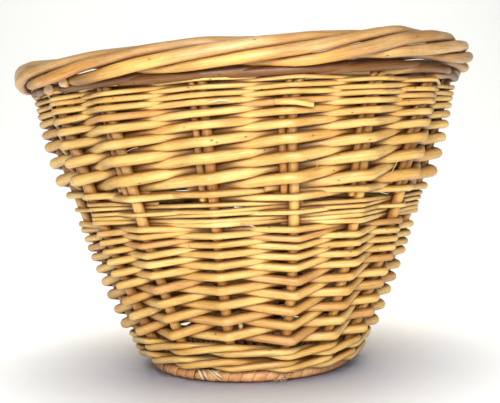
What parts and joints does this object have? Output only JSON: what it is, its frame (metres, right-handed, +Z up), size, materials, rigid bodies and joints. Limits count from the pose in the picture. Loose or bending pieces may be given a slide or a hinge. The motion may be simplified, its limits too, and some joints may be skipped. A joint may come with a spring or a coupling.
{
  "type": "woven willow basket",
  "caption": "Round tapered basket of woven willow rods, wider at the open top, with a rolled rod border, a narrow band of fine rods round the middle and a strip-wrapped hoop foot.",
  "frame": {"origin": "centre of the plane that the foot rests on", "axes": "+Z up through the middle of the basket; -Y towards the side shown in the picture; +X to the right of that side"},
  "size_m": [0.3595, 0.3591, 0.2417],
  "materials": {
    "stake_willow": "satin",
    "bye_stake_willow": "satin",
    "weaver_willow": "satin",
    "tip_willow": "satin",
    "base_willow": "satin",
    "hoop_wood": "matt",
    "skein_strip": "matt"
  },
  "bodies": {
    "root": {"stake_01": "stake_willow", "stake_02": "stake_willow", "stake_03": "stake_willow", "stake_04": "stake_willow", "stake_05": "stake_willow", "stake_06": "stake_willow", "stake_07": "stake_willow", "stake_08": "stake_willow", "stake_09": "stake_willow", "stake_10": "stake_willow", "stake_11": "stake_willow", "stake_12": "stake_willow", "stake_13": "stake_willow", "stake_14": "stake_willow", "stake_15": "stake_willow", "stake_16": "stake_willow", "bye_stake_01": "bye_stake_willow", "bye_stake_02": "bye_stake_willow", "bye_stake_03": "bye_stake_willow", "bye_stake_04": "bye_stake_willow", "bye_stake_05": "bye_stake_willow", "bye_stake_06": "bye_stake_willow", "bye_stake_07": "bye_stake_willow", "bye_stake_08": "bye_stake_willow", "bye_stake_09": "bye_stake_willow", "bye_stake_10": "bye_stake_willow", "bye_stake_11": "bye_stake_willow", "bye_stake_12": "bye_stake_willow", "bye_stake_13": "bye_stake_willow", "bye_stake_14": "bye_stake_willow", "bye_stake_15": "bye_stake_willow", "bye_stake_16": "bye_stake_willow", "base_stick_1": "base_willow", "base_stick_2": "base_willow", "base_stick_3": "base_willow", "base_stick_4": "base_willow", "base_stick_5": "base_willow", "base_stick_6": "base_willow", "base_stick_7": "base_willow", "base_stick_8": "base_willow", "base_weave": "base_willow", "foot_hoop": "hoop_wood", "foot_lashing": "skein_strip", "bottom_wale_1": "weaver_willow", "bottom_wale_2": "weaver_willow", "bottom_wale_3": "weaver_willow", "bottom_wale_4": "weaver_willow", "lower_rand": "weaver_willow", "tip_band": "tip_willow", "upper_rand": "weaver_willow"}
  },
  "joints": []
}
